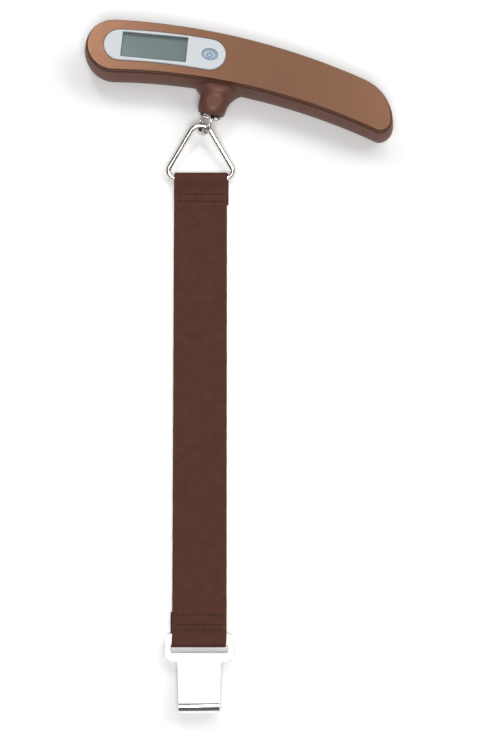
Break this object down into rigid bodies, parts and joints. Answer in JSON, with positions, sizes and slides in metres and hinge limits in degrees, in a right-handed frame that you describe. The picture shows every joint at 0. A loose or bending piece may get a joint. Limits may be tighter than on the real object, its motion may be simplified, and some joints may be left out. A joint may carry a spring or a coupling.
{
  "type": "digital luggage scale",
  "caption": "Hand-held digital luggage scale: a curved grip with a display, a split ring and triangle ring, a webbing strap and a flat hook.",
  "frame": {"origin": "on the flat back of the grip, on the load axis, where the scale rests when it lies face up", "axes": "+Z out of the display face; the strap runs along -Y; the grip runs along +X, turned 13 degrees clockwise"},
  "size_m": [0.1461, 0.3322, 0.024],
  "materials": {
    "copper_panel": "satin metallic copper paint",
    "dark_casing": "satin dark brown metallic plastic",
    "bezel": "pale grey satin",
    "window": "clear",
    "lcd": "grey-green display",
    "reflector": "bright",
    "conductive_rubber": "matt",
    "button": "blue",
    "black_plastic": "matt black",
    "circuit_board": "green solder mask",
    "aluminium": "machined",
    "gauge_seal": "white silicone",
    "steel": "plain steel",
    "contact_metal": "sprung bronze",
    "white_wire": "white insulation",
    "red_wire": "red insulation",
    "black_wire": "black insulation",
    "nickel": "polished nickel plate",
    "webbing": "woven dark brown webbing"
  },
  "bodies": {
    "grip": {"rear_casing": "dark_casing", "front_panel": "copper_panel", "display_bezel": "bezel", "window_lens": "window", "lcd_glass": "lcd", "lcd_reflector": "reflector", "zebra_connector": "conductive_rubber", "switch_body": "reflector", "main_board": "circuit_board", "controller_chip": "black_plastic", "load_cell": "aluminium", "strain_gauge_upper": "gauge_seal", "strain_gauge_lower": "gauge_seal", "load_cell_screw_1": "steel", "load_cell_screw_2": "steel", "load_bail": "steel", "bail_nut": "steel", "coin_cell": "steel", "battery_holder": "black_plastic", "contact_positive": "contact_metal", "contact_negative": "contact_metal", "case_screw_1": "steel", "case_screw_2": "steel", "case_screw_3": "steel", "gauge_leads": "white_wire", "battery_wire_positive": "red_wire", "battery_wire_negative": "black_wire"},
    "cover": {"battery_cover": "dark_casing"},
    "button": {"button_cap": "button", "switch_plunger": "black_plastic"},
    "ring": {"load_ring": "nickel"},
    "triangle": {"triangle_ring": "nickel"},
    "strap_top": {"strap_top_loop": "webbing"},
    "strap_1": {"strap_segment_1": "webbing"},
    "strap_2": {"strap_segment_2": "webbing"},
    "strap_3": {"strap_segment_3": "webbing"},
    "strap_4": {"strap_segment_4": "webbing"},
    "strap_5": {"strap_segment_5": "webbing"},
    "strap_bottom": {"strap_bottom_hem": "webbing"},
    "hook": {"strap_bottom_loop": "webbing", "hook_clip": "nickel"}
  },
  "joints": [
    {"name": "cover_slide", "type": "slide", "parent": "grip", "child": "cover", "axis": [0.9206, -0.3906, 0], "range_m": [0, 0.014]},
    {"name": "button_press", "type": "slide", "parent": "grip", "child": "button", "axis": [0, 0, -1], "range_m": [0, 0.0006], "stiffness_N_per_m": 400},
    {"name": "ring_swing", "type": "hinge", "parent": "grip", "child": "ring", "pos_m": [-0.0058, -0.02514, 0.0095], "axis": [-0.9744, 0.225, 0], "range_deg": [-32, 20]},
    {"name": "triangle_turn", "type": "hinge", "parent": "ring", "child": "triangle", "pos_m": [-0.0102, -0.029, 0.0095], "axis": [0, 0, 1], "range_deg": [-12, 12]},
    {"name": "strap_pivot", "type": "hinge", "parent": "triangle", "child": "strap_top", "pos_m": [-0.0102, -0.0528, 0.00265], "axis": [-1, 0, 0], "range_deg": [-60, 60]},
    {"name": "strap_flex_1", "type": "hinge", "parent": "strap_top", "child": "strap_1", "pos_m": [-0.0102, -0.07085, 0.00055], "axis": [-1, 0, 0], "range_deg": [-30, 30]},
    {"name": "strap_flex_2", "type": "hinge", "parent": "strap_1", "child": "strap_2", "pos_m": [-0.0102, -0.10734, 0.00055], "axis": [-1, 0, 0], "range_deg": [-30, 30]},
    {"name": "strap_flex_3", "type": "hinge", "parent": "strap_2", "child": "strap_3", "pos_m": [-0.0102, -0.14422, 0.00055], "axis": [-1, 0, 0], "range_deg": [-30, 30]},
    {"name": "strap_flex_4", "type": "hinge", "parent": "strap_3", "child": "strap_4", "pos_m": [-0.0102, -0.18111, 0.00055], "axis": [-1, 0, 0], "range_deg": [-30, 30]},
    {"name": "strap_flex_5", "type": "hinge", "parent": "strap_4", "child": "strap_5", "pos_m": [-0.0102, -0.218, 0.00055], "axis": [-1, 0, 0], "range_deg": [-30, 30]},
    {"name": "strap_flex_6", "type": "hinge", "parent": "strap_5", "child": "strap_bottom", "pos_m": [-0.0102, -0.25488, 0.00055], "axis": [-1, 0, 0], "range_deg": [-30, 30]},
    {"name": "hook_turn", "type": "hinge", "parent": "strap_bottom", "child": "hook", "pos_m": [-0.0102, -0.26978, 0.0011], "axis": [-1, 0, 0], "range_deg": [-45, 45]}
  ]
}
